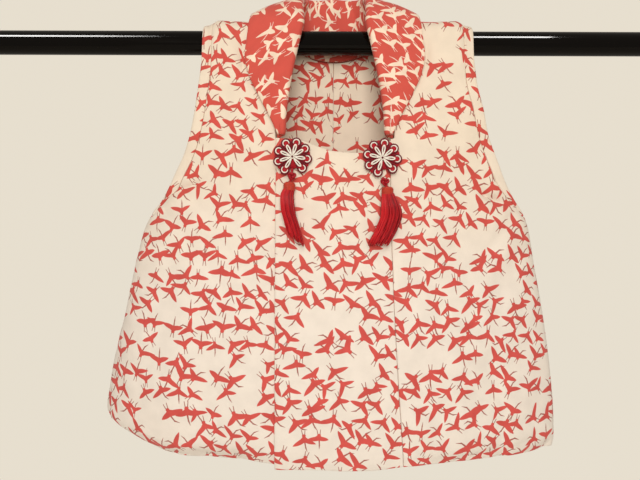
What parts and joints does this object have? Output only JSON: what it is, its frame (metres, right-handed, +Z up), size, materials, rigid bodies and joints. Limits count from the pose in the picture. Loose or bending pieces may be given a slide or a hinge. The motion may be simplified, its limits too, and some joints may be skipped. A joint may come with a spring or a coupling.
{
  "type": "hifu vest on a hanging rod",
  "caption": "Child's wadded hifu vest with a turned collar and overlapped front, cord flowers with tassels at the chest, hung open by its shoulders on a round rod.",
  "frame": {"origin": "on the rod's axis at the vest's centre line, where the rod holds the vest up", "axes": "+X along the rod towards the wearer's left, -Y out of the vest's front, +Z up"},
  "size_m": [0.8, 0.1186, 0.5082],
  "materials": {
    "print_cream": "cream crepe printed with red flying cranes",
    "print_red": "red crepe printed with cream flying cranes",
    "cord_white": "cream and dark red silk cord",
    "silk_crimson": "crimson silk",
    "gloss_black": "gloss black"
  },
  "bodies": {
    "root": {"rod": "gloss_black", "body_right": "print_cream", "body_left": "print_cream", "armhole_band_right": "print_cream", "armhole_band_left": "print_cream", "front_band_left": "print_cream", "front_band_right": "print_cream", "collar": "print_red", "flower_right": "cord_white", "flower_left": "cord_white", "knot_right": "silk_crimson", "knot_left": "silk_crimson", "tassel_right": "silk_crimson", "tassel_left": "silk_crimson"}
  },
  "joints": []
}
